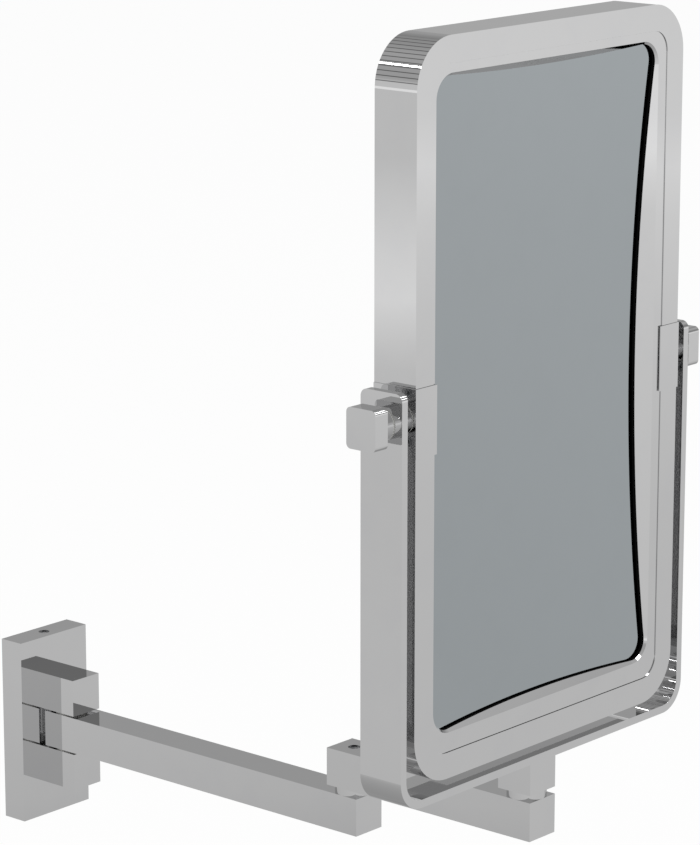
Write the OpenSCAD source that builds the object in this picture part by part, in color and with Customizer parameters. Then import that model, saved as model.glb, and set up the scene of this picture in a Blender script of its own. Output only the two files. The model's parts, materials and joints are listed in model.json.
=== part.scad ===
// Extendable makeup mirror for a wall: a two-bar swing arm, a U-shaped yoke and a two-sided
// rectangular mirror. Millimetres. The wall is the plane y = 0, the mirror stands out along -Y,
// and the origin is the middle of the wall plate's back.

/* [Wall plate] */
// Width of the wall plate
plate_w = 40; // [34:0.5:60]
// Height of the wall plate
plate_h = 82; // [79:0.5:83]
// Depth of the wall plate, from the wall to its front
plate_t = 12; // [11:0.5:16]
// Thickness of the plate's side walls
plate_wall = 3; // [2.6:0.1:3.6]
// Thickness of the plate's front wall
plate_front = 4; // [3:0.1:5]
// Mouth of the grub screw's hole in the top of the plate
grub_mouth_d = 4.8; // [4.4:0.1:6]

/* [Wall bracket] */
// Thickness of the bracket's sheet
bracket_t = 3; // [2:0.1:3.4]
// Distance between the two wall screws' holes
wall_screw_gap = 50; // [40:0.5:56]
// Diameter of a wall screw's hole
wall_hole_d = 5; // [4:0.1:6]
// Diameter of a wall screw hole's countersink
wall_sink_d = 9; // [7:0.1:11]

/* [Fork] */
// Width of a jaw of the fork
jaw_w = 16; // [15:0.5:24]
// Length of a jaw, out from the plate
jaw_l = 19.7; // [18:0.1:24]
// Height of a jaw
jaw_h = 16.3; // [14:0.1:20]
// Thickness of the washers between the jaws and the arm
fork_washer_t = 0.8; // [0.5:0.1:1.5]
// Distance of the fork's pin from the wall
fork_pin_y = 22.6; // [22.5:0.1:24]

/* [Arms] */
// Side of the square bars
bar = 16; // [15:0.5:17]
// Length of the inner arm, from the fork's pin to the elbow
inner_reach = 165; // [130:1:220]
// Length of the outer arm, from the elbow to the yoke's pin
outer_reach = 90; // [70:1:110]
// Distance of the arm's end from the plate
arm_end_gap = 1.9; // [1.6:0.1:2.4]
// Diameter of the round spacers under the outer arm and the block
spacer_d = 16; // [14:0.5:18]
// Height of a spacer
spacer_h = 3; // [2:0.1:6]

/* [Pivot pins] */
// Diameter of the pins' shanks
pin_d = 8; // [6:0.1:9]
// Diameter of the pins' heads
pin_head_d = 12; // [11:0.1:12.4]
// Height of a pin's head
pin_head_h = 3; // [2:0.1:3.4]
// Thickness of the spring washer under a head
spring_washer_t = 1; // [0.6:0.1:1.4]
// Depth of the counterbores that hold a head and its washer
counterbore_h = 5; // [4.9:0.1:6]
// Length of a pin's thread in the piece above it
pin_thread = 9; // [7:0.1:9.6]
// Diameter of the lock screws above the pins
lock_d = 5; // [4:0.1:6]

/* [Yoke] */
// Height of the block that carries the yoke
block_h = 14; // [13.5:0.5:20]
// Free width between the mirror's frame and an upright
side_gap = 4.5; // [3.5:0.1:8]
// Depth of the yoke's strip
strip_w = 20; // [18:0.5:24]
// Thickness of the yoke's strip
strip_t = 3.2; // [2.8:0.1:3.6]
// Inner radius of the yoke's two bends
bend_r = 9; // [6:0.5:14]
// Height of the uprights' ends above the tilt axis
upright_rise = 12.4; // [10:0.1:16]
// Radius of the uprights' top corners
upright_r = 3; // [1:0.5:5]

/* [Mirror] */
// Width of the mirror's frame
head_w = 162.6; // [140:0.1:162.6]
// Height of the mirror's frame
head_h = 282.6; // [240:0.1:300]
// Depth of the mirror's frame
head_d = 20; // [20:0.5:24]
// Radius of the frame's corners
head_r = 19.2; // [18:0.1:28]
// Free height between the frame and the yoke's strip
head_gap = 4.5; // [3:0.1:12]
// Thickness of the frame's outer wall
frame_wall = 2; // [1.6:0.1:2.2]
// Width of the flat rim around the front
rim_w = 10.3; // [9.5:0.1:11]
// Thickness of the rim's flat front
rim_t = 1.1; // [0.8:0.1:1.3]
// Depth of the step inside the rim
step_h = 0.4; // [0.3:0.05:0.6]
// Radius of the step's corners
step_r = 8.5; // [6:0.5:12]
// Distance of the opening from the frame's left edge
margin_left = 11.4; // [11.2:0.1:13]
// Distance of the opening from the frame's right edge
margin_right = 15.6; // [12:0.1:16.5]
// Distance of the opening from the frame's top edge
margin_top = 13.9; // [13:0.1:20]
// Distance of the opening from the frame's bottom edge
margin_bottom = 18; // [14:0.1:22]
// Radius of the opening's corners
opening_r = 9.6; // [8.8:0.1:12]
// Height of the magnifying glass's hollow, from its middle out to the frame's corner
hollow_h = 8.8; // [4:0.1:9]
// Depth of the bevel's lip at the middle of the glass, behind the frame's front
lip_depth = 7.4; // [7.3:0.05:8]
// Height of the black gasket between the lip and the glass
gasket_h = 1.6; // [1:0.1:2.2]
// Thickness of the magnifying glass
glass_t = 2; // [1.8:0.1:2.1]
// Thickness of the plain glass
plain_t = 3; // [2.5:0.1:3]
// Thickness of the rear ring
ring_t = 2.2; // [2:0.1:2.6]
// Thickness of the backing board
board_t = 1; // [0.8:0.1:1]
// Height of the flat gasket behind the plain glass
flat_gasket_h = 0.8; // [0.5:0.1:0.8]
// How far the glasses reach past the opening
glass_margin = 3.5; // [3:0.1:3.6]

/* [Clips and knobs] */
// Thickness of the clips' sheet
clip_t = 0.4; // [0.3:0.1:0.8]
// Height of a clip
clip_h = 26.4; // [25:0.1:34]
// How far a clip reaches over the front of the frame
clip_reach = 11.8; // [8:0.1:14]
// Diameter of the bosses between the clips and the uprights
boss_d = 11.6; // [10:0.1:14]
// Diameter of the threaded studs
stud_d = 6; // [5:0.1:6.4]
// Thickness of the friction washers on the studs
washer_t = 0.5; // [0.3:0.1:1]
// Thickness of a knob
knob_t = 7; // [6:0.1:12]
// Depth of a knob, front to back
knob_d = 14; // [13:0.1:20]
// Height of a knob
knob_h = 15.7; // [13:0.1:20]
// Radius of a knob's corners
knob_r = 2; // [1:0.1:5]
// Diameter of a knob's round neck
neck_d = 12.8; // [10:0.1:12.9]
// Distance of a knob from the upright
knob_gap = 4.5; // [2:0.1:8]

/* [Hidden] */

chrome = [0.74, 0.74, 0.75];
steel = [0.60, 0.61, 0.63];
black = [0.06, 0.06, 0.07];
silvered = [0.60, 0.64, 0.66];
nylon = [0.88, 0.88, 0.85];
board_grey = [0.42, 0.42, 0.42];

// Smoothness of round shapes
round_fn = 64;
// Steps in the hollow glass, around its middle and out from it
bowl_fn = 96;
bowl_steps = 20;
// The hollow's squeeze across, for bends of 1020 mm radius across and 1800 mm along
squeeze = 0.752;
// Radial room of a shaft that turns, and of a thread in its hole
run = 0.05;
thread_fit = 0.02;
// Room around a piece that is laid in a pocket
lay_fit = 0.3;
// Room between the front gasket and the curved faces that it lies on
seat_fit = 0.1;
// How far a cutter reaches past the face that it opens
over = 1;

// Heights and distances of the pivots
elbow_y = fork_pin_y + inner_reach;
head_y = elbow_y + outer_reach;
outer_z = bar / 2 + spacer_h;
block_z = outer_z + bar + spacer_h;
yoke_z = block_z + block_h;
head_z = yoke_z + strip_t + head_gap + head_h / 2;
yoke_w = head_w + 2 * (side_gap + strip_t);

// The plate's inside
cavity_w = plate_w - 2 * plate_wall;
cavity_d = plate_t - plate_front;
cavity_top = plate_h / 2 - plate_wall;
grub_d = 4;
grub_l = 7;
grub_y = plate_t / 2;
grub_sunk = 1.2;
grub_boss = 8;
hook_t = 3;
hook_drop = plate_wall / 2;
groove_room = 0.2;
grub_top = plate_h / 2 - grub_sunk;
bracket_top = grub_top - grub_l;

// The sockets in the pivot pins' heads, and the depth of the lock screws in their threads
pin_socket = 5;
pin_socket_h = 2;
lock_sunk = 1.2;
pin_shank = bar - counterbore_h + spring_washer_t + spacer_h + pin_thread;

// Screws that hold the jaws, the yoke, the clips and the rear ring
jaw_screw_d = 4;
jaw_screw_x = 4.5;
jaw_screw_depth = 5;
jaw_head_d = 7;
jaw_head_h = 1.8;
jaw_z = bar / 2 + fork_washer_t;
turn_room = 0.3;
turn_r = norm([bar / 2, fork_pin_y - plate_t - arm_end_gap]) + turn_room;
jaw_socket = 3;
fork_washer_d = 14;
block_screw_d = 3;
block_screw_at = 5.3;
block_screw_in = 2.3;
block_screw_l = block_h + block_screw_in;
block_sink_d = 5.2;
block_socket = 2;
clip_screw_d = 2.5;
clip_screw_z = 9.2;
clip_screw_l = 5;
clip_sink_d = 4;
clip_socket = 1.3;
ring_screw_d = 2.5;
ring_screw_l = 7;
ring_sink_d = 4.6;
ring_socket = 1.5;
ring_screw_z = 90;

// The inside of the frame, with depths counted back from the frame's front
inside_w = head_w - 2 * frame_wall;
inside_h = head_h - 2 * frame_wall;
inside_r = head_r - frame_wall;
rim_in_w = head_w - 2 * rim_w;
rim_in_h = head_h - 2 * rim_w;
opening_w = head_w - margin_left - margin_right;
opening_h = head_h - margin_top - margin_bottom;
opening_x = (margin_left - margin_right) / 2;
opening_z = (margin_bottom - margin_top) / 2;
glass_w = opening_w + 2 * glass_margin;
glass_h = opening_h + 2 * glass_margin;
glass_r = opening_r + glass_margin;
glass_front = lip_depth + gasket_h;
glass_back = glass_front + glass_t;
ring_in = head_d - ring_t;
plain_back = ring_in - flat_gasket_h;
plain_front = plain_back - plain_t;
board_front = plain_front - board_t;
least_r = 1;
bevel_h = opening_r - least_r;
ring_bevel = ring_t - step_h;
ring_fit = 0.1;
ring_line = (frame_wall + rim_w) / 2;

// Along the tilt axis, outward from the middle of the mirror
clip_x = head_w / 2 + clip_t;
upright_x = yoke_w / 2 - strip_t;
boss_end = upright_x - washer_t;
knob_x = yoke_w / 2 + knob_gap;
stud_sunk = 4.6;
nut_t = 3.5;
nut_d = 11;
nut_h = 26;
nut_x = head_w / 2 - frame_wall - nut_t;
nut_room = 0.3;
stud_past = 0.6;
stud_end = nut_x - stud_past;
washer_d = boss_d - 2;

// A rectangle with round corners around the origin
module rounded_flat(w, h, r) {
    square([w - 2 * r, h], center = true);
    square([w, h - 2 * r], center = true);
    for (sx = [-1, 1], sy = [-1, 1])
        translate([sx * (w / 2 - r), sy * (h / 2 - r)])
            circle(r = r, $fn = round_fn);
}

// A ring or a washer, standing on z = 0
module ring(d_out, d_in, h) {
    difference() {
        cylinder(d = d_out, h = h, $fn = round_fn);
        translate([0, 0, -over])
            cylinder(d = d_in, h = h + 2 * over, $fn = round_fn);
    }
}

// A hexagon socket, cut down from z = 0
module socket(across, depth) {
    translate([0, 0, -depth])
        cylinder(d = across / cos(30), h = depth + over, $fn = 6);
}

// A countersunk screw with its head's face at z = 0 and its shank along -Z
module sunk_screw(d, head_d, length, across) {
    cone = (head_d - d) / 2;
    difference() {
        union() {
            translate([0, 0, -cone])
                cylinder(d1 = d, d2 = head_d, h = cone, $fn = round_fn);
            translate([0, 0, -length])
                cylinder(d = d, h = length - cone, $fn = round_fn);
        }
        socket(across, cone);
    }
}

// The hole for such a screw, open upward
module sunk_hole(d, head_d, length) {
    cone = (head_d - d) / 2;
    translate([0, 0, -cone])
        cylinder(d1 = d, d2 = head_d, h = cone, $fn = round_fn);
    cylinder(d = head_d, h = over, $fn = round_fn);
    translate([0, 0, -length])
        cylinder(d = d, h = length - cone / 2, $fn = round_fn);
}

// A set screw with its top at z = 0
module set_screw(d, length) {
    difference() {
        translate([0, 0, -length])
            cylinder(d = d, h = length, $fn = round_fn);
        socket(d / 2, length / 2);
    }
}

// A pivot pin: under its head is z = 0, and its shank goes up
module pivot_pin(shank) {
    difference() {
        union() {
            translate([0, 0, -pin_head_h])
                cylinder(d = pin_head_d, h = pin_head_h, $fn = round_fn);
            translate([0, 0, -over])
                cylinder(d = pin_d, h = shank + over, $fn = round_fn);
        }
        translate([0, 0, -pin_head_h])
            mirror([0, 0, 1])
                socket(pin_socket, pin_socket_h);
    }
}

// The hole for a pin through a bar that stands on z = 0, with its counterbore below
module pin_eye() {
    translate([0, 0, -over])
        cylinder(d = pin_d + 2 * run, h = bar + 2 * over, $fn = round_fn);
    translate([0, 0, -over])
        cylinder(d = pin_head_d + 2 * lay_fit, h = counterbore_h + over, $fn = round_fn);
}

// The blind thread for a pin, up from z = 0, and the lock screw's thread above it
module pin_seat(height) {
    translate([0, 0, -over])
        cylinder(d = pin_d + 2 * thread_fit, h = pin_thread + over, $fn = round_fn);
    translate([0, 0, pin_thread - over])
        cylinder(d = lock_d + 2 * thread_fit, h = height - pin_thread + 2 * over, $fn = round_fn);
}

module wall_cover_plate() {
    color(chrome)
        difference() {
            translate([-plate_w / 2, -plate_t, -plate_h / 2])
                cube([plate_w, plate_t, plate_h]);
            difference() {
                translate([-cavity_w / 2, -cavity_d, -cavity_top])
                    cube([cavity_w, cavity_d + over, 2 * cavity_top]);
                // boss that the grub screw's thread is cut in
                translate([-grub_boss / 2, -cavity_d, cavity_top - plate_wall])
                    cube([grub_boss, cavity_d - bracket_t, plate_wall + over]);
            }
            // groove that the bracket's lower hook sits in
            translate([-cavity_w / 2, -cavity_d, -cavity_top - hook_drop - groove_room])
                cube([cavity_w, hook_t + groove_room, cavity_top]);
            translate([0, -grub_y, cavity_top - plate_wall - over])
                cylinder(d = grub_d + 2 * thread_fit, h = 3 * plate_wall, $fn = round_fn);
            translate([0, -grub_y, plate_h / 2 - grub_sunk])
                cylinder(d = grub_mouth_d, h = grub_sunk + over, $fn = round_fn);
            for (sx = [-1, 1], sz = [-1, 1])
                translate([sx * jaw_screw_x, -plate_t - over, sz * (jaw_z + jaw_h / 2)])
                    rotate([-90, 0, 0])
                        cylinder(d = jaw_screw_d + lay_fit, h = plate_t, $fn = round_fn);
            // shallow groove between the jaws, which the arm's square end turns in
            translate([0, -fork_pin_y, 0])
                cylinder(r = turn_r, h = bar + fork_washer_t, center = true, $fn = round_fn);
        }
}

module wall_bracket() {
    bracket_w = cavity_w - 2 * lay_fit;
    color(steel)
        difference() {
            union() {
                translate([-bracket_w / 2, -bracket_t, -cavity_top])
                    cube([bracket_w, bracket_t, bracket_top + cavity_top]);
                // upper lip that the grub screw presses on
                translate([-bracket_w / 2, -cavity_d + lay_fit, bracket_top - bracket_t])
                    cube([bracket_w, cavity_d - lay_fit, bracket_t]);
                // lower lip with its hook
                translate([-bracket_w / 2, -cavity_d + groove_room, -cavity_top])
                    cube([bracket_w, cavity_d - groove_room, bracket_t]);
                translate([-bracket_w / 2, -cavity_d + groove_room, -cavity_top - hook_drop])
                    cube([bracket_w, hook_t - groove_room, hook_drop + over]);
            }
            for (sz = [-1, 1])
                translate([0, -bracket_t, sz * wall_screw_gap / 2])
                    rotate([90, 0, 0])
                        sunk_hole(wall_hole_d, wall_sink_d, 2 * bracket_t);
        }
}

module grub_screw() {
    color(steel)
        translate([0, -grub_y, grub_top])
            set_screw(grub_d, grub_l);
}

// A jaw above the arm, with the threads for its two screws and the pin's hole
module jaw(pin_hole_h) {
    difference() {
        translate([-jaw_w / 2, -plate_t - jaw_l, jaw_z])
            cube([jaw_w, jaw_l, jaw_h]);
        for (sx = [-1, 1])
            translate([sx * jaw_screw_x, -plate_t + over, jaw_z + jaw_h / 2])
                rotate([90, 0, 0])
                    cylinder(d = jaw_screw_d + 2 * thread_fit, h = jaw_screw_depth + 2 * over,
                        $fn = round_fn);
        translate([0, -fork_pin_y, jaw_z - over])
            cylinder(d = pin_d + 2 * thread_fit, h = pin_hole_h + over, $fn = round_fn);
    }
}

module upper_jaw() {
    color(chrome)
        jaw(pin_thread + lay_fit);
}

module lower_jaw() {
    color(chrome)
        difference() {
            mirror([0, 0, 1])
                jaw(jaw_h + over);
            translate([0, -fork_pin_y, -jaw_z - jaw_h - over])
                cylinder(d = pin_head_d + 2 * lay_fit, h = pin_head_h + over, $fn = round_fn);
        }
}

module jaw_screws() {
    color(steel)
        for (sx = [-1, 1], sz = [-1, 1])
            translate([sx * jaw_screw_x, -cavity_d, sz * (jaw_z + jaw_h / 2)])
                rotate([-90, 0, 0])
                    difference() {
                        union() {
                            cylinder(d = jaw_head_d, h = jaw_head_h, $fn = round_fn);
                            translate([0, 0, -plate_front - jaw_screw_depth])
                                cylinder(d = jaw_screw_d, h = plate_front + jaw_screw_depth,
                                    $fn = round_fn);
                        }
                        translate([0, 0, jaw_head_h])
                            socket(jaw_socket, jaw_head_h / 2);
                    }
}

module fork_pin() {
    color(steel)
        translate([0, -fork_pin_y, -jaw_z - jaw_h + pin_head_h])
            pivot_pin(jaw_h - pin_head_h + 2 * jaw_z + pin_thread);
}

module fork_washers() {
    color(nylon)
        for (sz = [-jaw_z, bar / 2])
            translate([0, -fork_pin_y, sz])
                ring(fork_washer_d, pin_d + 2 * run, fork_washer_t);
}

module inner_arm() {
    start = plate_t + arm_end_gap;
    end = elbow_y + bar / 2;
    color(chrome)
        difference() {
            translate([-bar / 2, -end, -bar / 2])
                cube([bar, end - start, bar]);
            translate([0, -fork_pin_y, -bar / 2 - over])
                cylinder(d = pin_d + 2 * run, h = bar + 2 * over, $fn = round_fn);
            translate([0, -elbow_y, -bar / 2])
                pin_eye();
        }
}

module elbow_spacer() {
    color(chrome)
        translate([0, -elbow_y, bar / 2])
            ring(spacer_d, pin_d + 2 * run, spacer_h);
}

module elbow_pin() {
    color(steel)
        translate([0, -elbow_y, -bar / 2 + counterbore_h - spring_washer_t])
            pivot_pin(pin_shank);
}

module elbow_spring_washer() {
    color(steel)
        translate([0, -elbow_y, -bar / 2 + counterbore_h - spring_washer_t])
            ring(pin_head_d, pin_d + 2 * run, spring_washer_t);
}

module elbow_lock_screw() {
    color(steel)
        translate([0, -elbow_y, outer_z + bar - lock_sunk])
            set_screw(lock_d, bar - pin_thread - lock_sunk);
}

module outer_arm() {
    color(chrome)
        difference() {
            translate([-bar / 2, -head_y - bar / 2, outer_z])
                cube([bar, outer_reach + bar, bar]);
            translate([0, -elbow_y, outer_z])
                pin_seat(bar);
            translate([0, -head_y, outer_z])
                pin_eye();
        }
}

module yoke_spacer() {
    color(chrome)
        translate([0, -head_y, block_z - spacer_h])
            ring(spacer_d, pin_d + 2 * run, spacer_h);
}

module yoke_pin() {
    color(steel)
        translate([0, -head_y, outer_z + counterbore_h - spring_washer_t])
            pivot_pin(pin_shank);
}

module yoke_spring_washer() {
    color(steel)
        translate([0, -head_y, outer_z + counterbore_h - spring_washer_t])
            ring(pin_head_d, pin_d + 2 * run, spring_washer_t);
}

module yoke_lock_screw() {
    color(steel)
        translate([0, -head_y, yoke_z])
            set_screw(lock_d, block_h - pin_thread);
}

// The screws from the block's underside up into the yoke, with their heads at z = 0 of each
module at_block_screws() {
    for (sx = [-1, 1], sy = [-1, 1])
        translate([sx * block_screw_at, -head_y + sy * block_screw_at, block_z])
            rotate([180, 0, 0])
                children();
}

module yoke_block() {
    color(chrome)
        difference() {
            translate([-bar / 2, -head_y - bar / 2, block_z])
                cube([bar, bar, block_h]);
            translate([0, -head_y, block_z])
                pin_seat(block_h);
            at_block_screws()
                sunk_hole(block_screw_d + 2 * thread_fit, block_sink_d, block_h + over);
        }
}

module yoke_screws() {
    color(steel)
        at_block_screws()
            sunk_screw(block_screw_d, block_sink_d, block_screw_l, block_socket);
}

module yoke() {
    top = head_z - yoke_z + upright_rise;
    out_r = bend_r + strip_t;
    color(chrome)
        difference() {
            intersection() {
                // the strip bent to a U, across the whole depth
                translate([0, -head_y + strip_w / 2, yoke_z + top])
                    rotate([90, 0, 0])
                        linear_extrude(strip_w)
                            difference() {
                                rounded_flat(yoke_w, 2 * top, out_r);
                                rounded_flat(yoke_w - 2 * strip_t, 2 * (top - strip_t), bend_r);
                            }
                // the side view, which rounds the uprights' top corners
                translate([-yoke_w / 2 - over, -head_y, yoke_z])
                    rotate([90, 0, 90])
                        linear_extrude(yoke_w + 2 * over)
                            rounded_flat(strip_w, 2 * top, upright_r);
            }
            translate([-yoke_w / 2 - over, -head_y, head_z])
                rotate([0, 90, 0])
                    cylinder(d = stud_d + 2 * run, h = yoke_w + 2 * over, $fn = round_fn);
            at_block_screws()
                translate([0, 0, -block_screw_l - lay_fit])
                    cylinder(d = block_screw_d + 2 * thread_fit, h = block_screw_l, $fn = round_fn);
        }
}

// Places a shape that is drawn outward along +Z on the tilt axis, on both sides of the mirror
module on_axis(side) {
    translate([0, -head_y, head_z])
        rotate([0, side * 90, 0])
            children();
}

module yoke_washers() {
    color(nylon)
        for (side = [-1, 1], x = [boss_end, yoke_w / 2])
            on_axis(side)
                translate([0, 0, x])
                    ring(washer_d, stud_d + 2 * run, washer_t);
}

// Places what is drawn in the mirror's own frame: X across, Y up, Z out of the front
module on_head() {
    translate([0, -head_y, head_z])
        rotate([90, 0, 0])
            children();
}

// A rounded plate between two depths behind the frame's front
module slab(w, h, r, depth_a, depth_b) {
    translate([0, 0, head_d / 2 - depth_b])
        linear_extrude(depth_b - depth_a)
            rounded_flat(w, h, r);
}

module at_opening() {
    translate([opening_x, opening_z, 0])
        children();
}

// A rounded plate whose sides draw in at 45 degrees from z = 0 down to z = -t
module taper(w, h, r, t) {
    for (sx = [-1, 1], sy = [-1, 1])
        translate([sx * (w / 2 - r), sy * (h / 2 - r), -t])
            cylinder(r1 = r - t, r2 = r, h = t, $fn = round_fn);
    rotate([90, 0, 90])
        linear_extrude(w - 2 * r, center = true)
            polygon([[t - h / 2, -t], [h / 2 - t, -t], [h / 2, 0], [-h / 2, 0]]);
    rotate([90, 0, 0])
        linear_extrude(h - 2 * r, center = true)
            polygon([[t - w / 2, -t], [w / 2 - t, -t], [w / 2, 0], [-w / 2, 0]]);
}

// The opening's bevel, which starts at a given depth, with its slope carried on above that
module bevel_cut(depth, above) {
    at_opening()
        translate([0, 0, head_d / 2 - depth + above])
            taper(opening_w + 2 * above, opening_h + 2 * above, opening_r + above,
                bevel_h + above);
}

// Everything behind a hollow face around the opening's middle, at the given depth. It is a ball
// face squeezed across, so it bends more tightly across the mirror than along it.
module behind_hollow(depth) {
    reach = norm([head_w / squeeze, head_h]) / 2;
    bend_r = (reach * reach + hollow_h * hollow_h) / (2 * hollow_h);
    rise = function (x) bend_r - sqrt(bend_r * bend_r - x * x);
    at_opening()
        translate([0, 0, head_d / 2 - depth])
            scale([squeeze, 1, 1])
                rotate_extrude($fn = bowl_fn)
                    polygon([
                        [0, -2 * head_d],
                        for (i = [0:bowl_steps])
                            [reach * i / bowl_steps, i == 0 ? 0 : rise(reach * i / bowl_steps)],
                        [reach, -2 * head_d]
                    ]);
}

// The glasses' outline, grown by a given room, between two depths
module glass_slab(room, depth_a, depth_b) {
    at_opening()
        slab(glass_w + 2 * room, glass_h + 2 * room, glass_r + room, depth_a, depth_b);
}

// The screws along the rear ring, with their heads at z = 0 of each
module at_ring_screws() {
    across = head_w / 2 - ring_line;
    along = head_h / 2 - ring_line;
    for (p = [[-across, -ring_screw_z], [-across, ring_screw_z], [across, -ring_screw_z],
            [across, ring_screw_z], [0, along], [0, -along]])
        translate([p[0], p[1], -head_d / 2])
            rotate([180, 0, 0])
                children();
}

module mirror_frame() {
    color(chrome)
        difference() {
            on_head()
                difference() {
                    slab(head_w, head_h, head_r, 0, head_d);
                    slab(inside_w, inside_h, inside_r, rim_t, head_d + over);
                    slab(rim_in_w, rim_in_h, step_r, -over, head_d);
                }
            for (side = [-1, 1])
                on_axis(side) {
                    cylinder(d = stud_d + 2 * lay_fit, h = head_w, $fn = round_fn);
                    for (sx = [-1, 1])
                        translate([sx * clip_screw_z, 0, clip_x])
                            sunk_hole(clip_screw_d + 2 * thread_fit, clip_sink_d,
                                clip_screw_l + over);
                }
        }
}

module front_bezel() {
    color(chrome)
        difference() {
            on_head()
                difference() {
                    union() {
                        slab(inside_w - 2 * ring_fit, inside_h - 2 * ring_fit,
                            inside_r - ring_fit, rim_t, ring_in);
                        // the field that stands up inside the rim
                        slab(rim_in_w - 2 * ring_fit, rim_in_h - 2 * ring_fit,
                            step_r - ring_fit, step_h, rim_t + over);
                    }
                    bevel_cut(step_h, over);
                    intersection() {
                        glass_slab(lay_fit, 0, head_d);
                        behind_hollow(lip_depth);
                    }
                    at_ring_screws()
                        translate([0, 0, -ring_screw_l - over])
                            cylinder(d = ring_screw_d + 2 * thread_fit, h = ring_screw_l + over,
                                $fn = round_fn);
                }
            for (side = [-1, 1])
                on_axis(side)
                    translate([-nut_h / 2 - nut_room, -nut_d / 2 - nut_room, nut_x - 2 * nut_room])
                        cube([nut_h + 2 * nut_room, nut_d + 2 * nut_room, nut_t + over]);
        }
}

module front_gasket() {
    color(black)
        on_head()
            difference() {
                intersection() {
                    glass_slab(lay_fit - seat_fit, 0, head_d);
                    behind_hollow(lip_depth + seat_fit);
                }
                behind_hollow(glass_front - seat_fit);
                bevel_cut(step_h + gasket_h, gasket_h + over);
            }
}

module magnifying_glass() {
    color(silvered)
        on_head()
            difference() {
                intersection() {
                    glass_slab(0, 0, head_d);
                    behind_hollow(glass_front);
                }
                behind_hollow(glass_back);
            }
}

module foam_pad() {
    color(board_grey)
        on_head()
            intersection() {
                glass_slab(0, 0, board_front);
                behind_hollow(glass_back);
            }
}

module backing_board() {
    color(board_grey)
        on_head()
            glass_slab(0, board_front, plain_front);
}

module plain_glass() {
    color(silvered)
        on_head()
            glass_slab(0, plain_front, plain_back);
}

module back_gasket() {
    color(black)
        on_head()
            difference() {
                glass_slab(0, plain_back, ring_in);
                at_opening()
                    slab(opening_w - 2 * ring_bevel, opening_h - 2 * ring_bevel,
                        opening_r - ring_bevel, 0, head_d);
            }
}

module rear_ring() {
    color(chrome)
        on_head()
            difference() {
                slab(inside_w - 2 * ring_fit, inside_h - 2 * ring_fit, inside_r - ring_fit,
                    ring_in, head_d);
                slab(rim_in_w, rim_in_h, step_r, head_d - step_h, head_d + over);
                at_opening()
                    translate([0, 0, -head_d / 2 + step_h - over])
                        mirror([0, 0, 1])
                            taper(opening_w + 2 * over, opening_h + 2 * over, opening_r + over,
                                ring_bevel + 2 * over);
                at_ring_screws()
                    sunk_hole(ring_screw_d + 2 * thread_fit, ring_sink_d, ring_screw_l);
            }
}

module ring_screws() {
    color(steel)
        on_head()
            at_ring_screws()
                sunk_screw(ring_screw_d, ring_sink_d, ring_screw_l, ring_socket);
}

// A clip: a side plate beside the frame and a flange over its front
module clip(side) {
    difference() {
        on_axis(side) {
            translate([-clip_h / 2, -head_d / 2 - clip_t, head_w / 2])
                cube([clip_h, head_d + clip_t, clip_t]);
            translate([-clip_h / 2, -head_d / 2 - clip_t, head_w / 2 - clip_reach])
                cube([clip_h, clip_t, clip_reach + clip_t]);
        }
        on_axis(side) {
            cylinder(d = stud_d + 2 * lay_fit, h = head_w, $fn = round_fn);
            for (sx = [-1, 1])
                translate([sx * clip_screw_z, 0, clip_x])
                    sunk_hole(clip_screw_d + 2 * thread_fit, clip_sink_d, clip_screw_l + over);
        }
    }
}

module left_clip() {
    color(chrome)
        clip(-1);
}

module right_clip() {
    color(chrome)
        clip(1);
}

module pivot_bosses() {
    color(chrome)
        for (side = [-1, 1])
            on_axis(side)
                translate([0, 0, clip_x])
                    ring(boss_d, stud_d + 2 * run, boss_end - clip_x);
}

module clip_screws() {
    color(steel)
        for (side = [-1, 1], sx = [-1, 1])
            on_axis(side)
                translate([sx * clip_screw_z, 0, clip_x])
                    sunk_screw(clip_screw_d, clip_sink_d, clip_screw_l, clip_socket);
}

module pivot_nuts() {
    color(steel)
        for (side = [-1, 1])
            on_axis(side)
                difference() {
                    translate([-nut_h / 2, -nut_d / 2, nut_x])
                        cube([nut_h, nut_d, nut_t]);
                    cylinder(d = stud_d + 2 * run, h = head_w, $fn = round_fn);
                    for (sx = [-1, 1])
                        translate([sx * clip_screw_z, 0, 0])
                            cylinder(d = clip_screw_d + 2 * thread_fit, h = head_w, $fn = round_fn);
                }
}

// A knob: a rounded block on a round neck, with the stud's blind thread
module knob(side) {
    neck_x = yoke_w / 2 + washer_t;
    on_axis(side)
        difference() {
            union() {
                translate([0, 0, knob_x])
                    linear_extrude(knob_t)
                        rounded_flat(knob_h, knob_d, knob_r);
                translate([0, 0, neck_x])
                    cylinder(d = neck_d, h = knob_x - neck_x + over, $fn = round_fn);
            }
            translate([0, 0, neck_x - over])
                cylinder(d = stud_d + 2 * thread_fit, h = knob_x + stud_sunk - neck_x + over,
                    $fn = round_fn);
        }
}

module stud(side) {
    on_axis(side)
        translate([0, 0, stud_end])
            cylinder(d = stud_d, h = knob_x + stud_sunk - stud_end, $fn = round_fn);
}

module left_knob() {
    color(chrome)
        knob(-1);
}

module left_stud() {
    color(steel)
        stud(-1);
}

module right_knob() {
    color(chrome)
        knob(1);
}

module right_stud() {
    color(steel)
        stud(1);
}

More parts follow.
